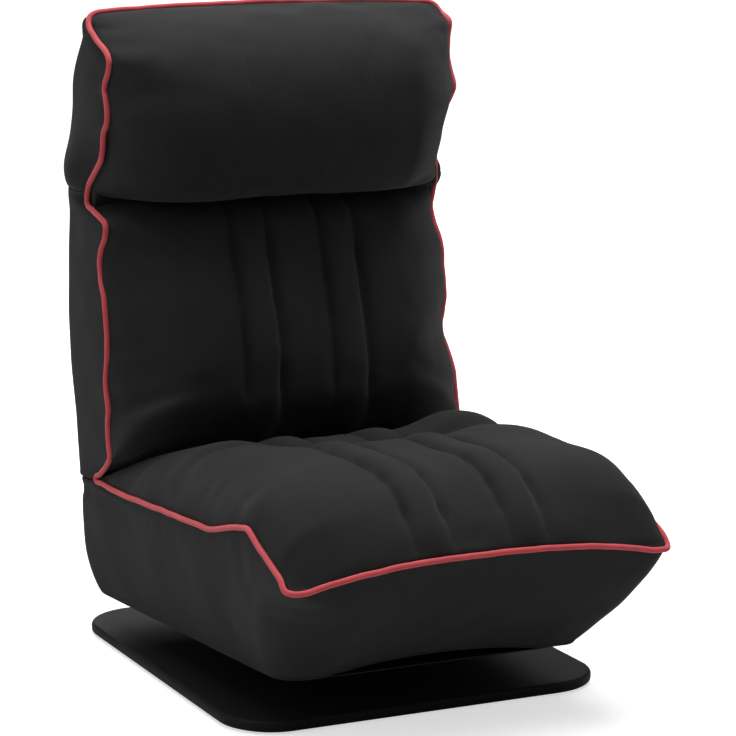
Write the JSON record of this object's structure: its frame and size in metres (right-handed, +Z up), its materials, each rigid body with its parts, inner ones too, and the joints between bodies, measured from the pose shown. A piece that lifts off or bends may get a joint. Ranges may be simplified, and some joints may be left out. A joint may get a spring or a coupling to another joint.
{
  "type": "floor gaming chair",
  "caption": "Padded legless floor chair on a swivel plate, with a reclining back and a tilting head section.",
  "frame": {"origin": "on the floor, on the swivel axis", "axes": "+Z up; the chair faces -Y; +X is to the sitter's left hand as the chair faces -Y, which is the right of someone who faces the chair. Node names take left and right from there, so left is at -X. The chair is mirror symmetric in X"},
  "size_m": [0.5006, 0.6964, 0.7904],
  "materials": {
    "charcoal_fabric": "matte",
    "red_piping": "matte",
    "foam": "matte",
    "webbing": "matte",
    "bottom_cloth": "matte",
    "black_plate": "satin",
    "black_frame": "satin",
    "zinc_steel": "satin",
    "bearing_steel": "polished",
    "rubber_mat": "matte",
    "board": "matte"
  },
  "bodies": {
    "base": {"base_plate": "black_plate", "base_mat": "rubber_mat", "swivel_lower_plate": "zinc_steel", "swivel_pivot": "zinc_steel", "base_screws": "zinc_steel"},
    "ball_race": {"ball_cage": "zinc_steel", "swivel_balls": "bearing_steel"},
    "seat": {"swivel_upper_plate": "zinc_steel", "swivel_riser": "board", "swivel_bolts": "zinc_steel", "mounting_plate": "black_frame", "cross_tubes": "black_frame", "support_legs": "black_frame", "seat_rail_left": "black_frame", "seat_rail_right": "black_frame", "seat_cross_rails": "black_frame", "seat_webbing": "webbing", "seat_foam": "foam", "seat_cushion": "charcoal_fabric", "seat_front_panel": "charcoal_fabric", "seat_rear_panel": "charcoal_fabric", "seat_side_panel_left": "charcoal_fabric", "seat_side_panel_right": "charcoal_fabric", "seat_bottom_cover": "bottom_cloth", "seat_rear_gusset": "charcoal_fabric", "seat_piping": "red_piping", "recline_toothed_plate_left": "zinc_steel", "recline_toothed_plate_right": "zinc_steel", "recline_pins": "zinc_steel"},
    "back": {"recline_arm_left": "zinc_steel", "recline_arm_right": "zinc_steel", "recline_pawls": "zinc_steel", "recline_pawl_springs": "zinc_steel", "back_rail_left": "black_frame", "back_rail_right": "black_frame", "back_cross_rails": "black_frame", "back_webbing": "webbing", "back_foam": "foam", "back_cushion": "charcoal_fabric", "back_rear_panel": "charcoal_fabric", "back_side_panel_left": "charcoal_fabric", "back_side_panel_right": "charcoal_fabric", "back_piping_left": "red_piping", "back_piping_right": "red_piping", "head_toothed_plate": "zinc_steel", "head_pins": "zinc_steel"},
    "head": {"head_arm": "zinc_steel", "head_pawls": "zinc_steel", "head_pawl_springs": "zinc_steel", "head_rails": "black_frame", "head_top_rail": "black_frame", "head_webbing": "webbing", "head_foam": "foam", "head_pillow": "charcoal_fabric", "head_fold_roll": "charcoal_fabric", "head_rear_panel": "charcoal_fabric", "head_side_panels": "charcoal_fabric", "head_piping": "red_piping", "head_hinge_pads": "charcoal_fabric"}
  },
  "joints": [
    {"name": "base_swivel", "type": "hinge", "parent": "base", "child": "seat", "pos_m": [0, 0, 0.024], "axis": [0, 0, 1], "continuous": true},
    {"name": "cage_spin", "type": "hinge", "parent": "base", "child": "ball_race", "pos_m": [0, 0, 0.024], "axis": [0, 0, 1], "continuous": true},
    {"name": "backrest_recline", "type": "hinge", "parent": "seat", "child": "back", "pos_m": [0, 0.212, 0.2], "axis": [-1, 0, 0], "range_deg": [-4, 86], "deforming": ["seat_rear_gusset"]},
    {"name": "headrest_tilt", "type": "hinge", "parent": "back", "child": "head", "pos_m": [0, 0.212, 0.562], "axis": [1, 0, 0], "range_deg": [-20, 25], "deforming": ["head_fold_roll"]}
  ],
  "couplings": [
    {"joint": "cage_spin", "follows": "base_swivel", "ratio": 0.5}
  ]
}
